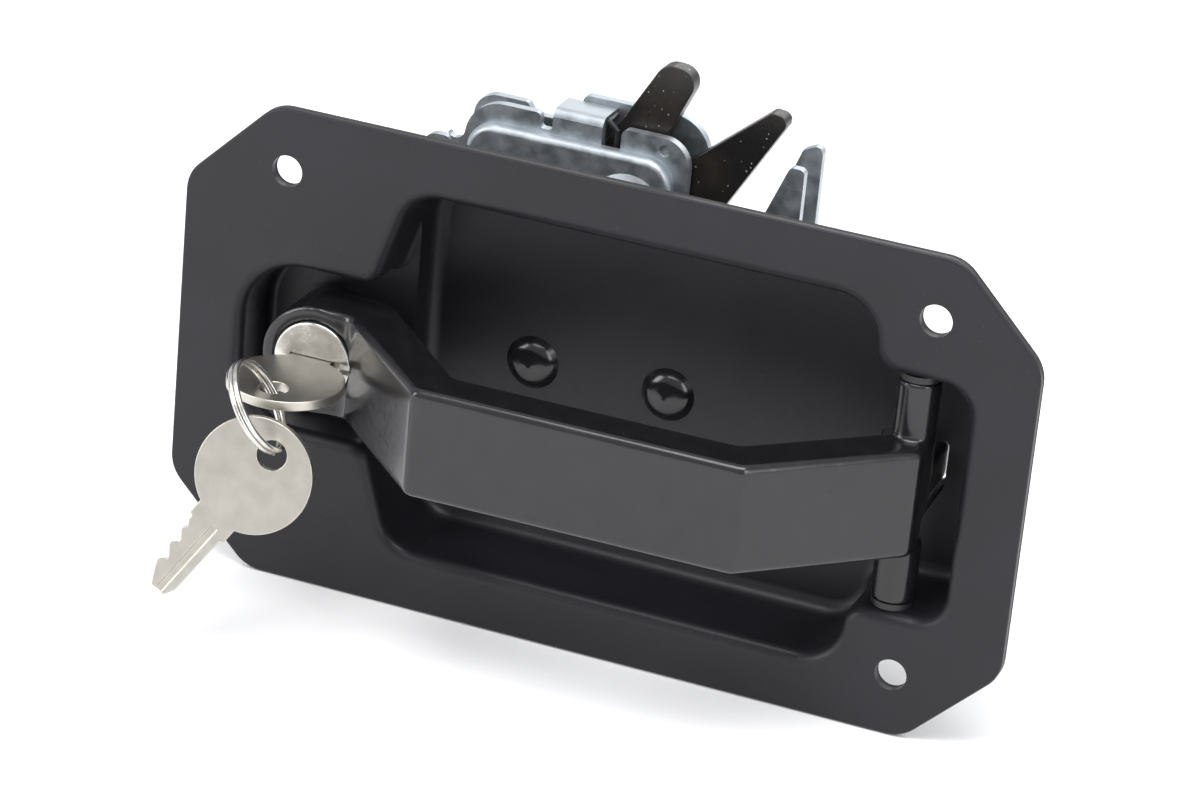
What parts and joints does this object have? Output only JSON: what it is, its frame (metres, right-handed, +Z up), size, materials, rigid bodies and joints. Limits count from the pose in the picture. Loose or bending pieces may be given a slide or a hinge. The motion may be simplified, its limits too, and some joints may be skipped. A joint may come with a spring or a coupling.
{
  "type": "rotary gate latch",
  "caption": "Recessed pull-handle rotary gate latch: black octagonal pan, cranked locking handle with keys, zinc-plated latch housing with a pronged rotor behind.",
  "frame": {"origin": "centre of the four mounting holes, on the front face of the flange", "axes": "+X towards the hinge end of the handle along the flange's long side, +Y into the gate, +Z up towards the rotor's prongs"},
  "size_m": [0.18, 0.0843, 0.116],
  "materials": {
    "black_powder_coat": "satin",
    "gasket_rubber": "matt",
    "black_gloss_enamel": "gloss",
    "zinc_plate": "bright",
    "spring_steel": "bright",
    "black_nylon": "matt",
    "nickel_plate": "polished",
    "nickel_silver": "satin",
    "black_e_coat": "satin",
    "black_spring": "satin"
  },
  "bodies": {
    "base": {"mounting_pan": "black_powder_coat", "flange_gasket": "gasket_rubber", "hinge_pin": "zinc_plate", "hinge_pin_clip": "spring_steel", "hinge_washers": "black_nylon", "handle_return_spring": "black_spring", "latch_front_plate": "zinc_plate", "latch_back_plate": "zinc_plate", "recess_rivet_left": "black_gloss_enamel", "recess_rivet_right": "black_gloss_enamel", "housing_spacers": "zinc_plate", "rotor_pivot_rivet": "zinc_plate", "pawl_pivot_rivet": "zinc_plate", "rotor_sleeves": "zinc_plate", "pawl_sleeves": "zinc_plate", "guide_stud_near": "zinc_plate", "guide_stud_far": "zinc_plate", "rotor_spring": "black_spring", "pawl_spring": "black_spring"},
    "handle": {"pull_handle": "black_gloss_enamel"},
    "plug": {"lock_plug": "nickel_plate", "plug_circlip": "spring_steel", "lock_cam": "zinc_plate", "cam_nut": "zinc_plate"},
    "key": {"lock_key": "nickel_silver"},
    "ring": {"split_ring": "nickel_plate"},
    "spare": {"spare_key": "nickel_silver"},
    "rotor_body": {"rotor": "black_e_coat"},
    "pawl_body": {"pawl": "zinc_plate"},
    "link": {"release_link": "zinc_plate"}
  },
  "joints": [
    {"name": "handle_swing", "type": "hinge", "parent": "base", "child": "handle", "pos_m": [0.065, 0.0055, 0], "axis": [0, 0, 1], "range_deg": [0, 20], "stiffness_Nm_per_rad": 0.25, "springref_deg": -17.19},
    {"name": "link_slide", "type": "slide", "parent": "base", "child": "link", "axis": [-1, 0, 0], "range_m": [0, 0.01095]},
    {"name": "pawl_swing", "type": "hinge", "parent": "base", "child": "pawl_body", "pos_m": [-0.028, 0.033, -0.008], "axis": [0, -1, 0], "range_deg": [0, 21.8]},
    {"name": "rotor_turn", "type": "hinge", "parent": "base", "child": "rotor_body", "pos_m": [-0.005, 0.033, 0.035], "axis": [0, 1, 0], "range_deg": [0, 58], "stiffness_Nm_per_rad": 0.03, "springref_deg": -34.38},
    {"name": "plug_turn", "type": "hinge", "parent": "handle", "child": "plug", "pos_m": [-0.0584, 0, 0], "axis": [0, 1, 0], "range_deg": [0, 90]},
    {"name": "key_slide", "type": "slide", "parent": "plug", "child": "key", "axis": [0, -1, 0], "range_m": [0, 0.02]},
    {"name": "ring_swing", "type": "hinge", "parent": "key", "child": "ring", "pos_m": [-0.0584, -0.0213, 0], "axis": [1, 0, 0], "range_deg": [-15, 25]},
    {"name": "spare_key_swing", "type": "hinge", "parent": "ring", "child": "spare", "pos_m": [-0.0523, -0.0322, -0.0071], "axis": [1, 0, 0], "range_deg": [-25, 18]}
  ],
  "couplings": [
    {"joint": "link_slide", "follows": "handle_swing", "m_per_rad": 0.031226},
    {"joint": "pawl_swing", "follows": "handle_swing", "ratio": 1.0818}
  ]
}
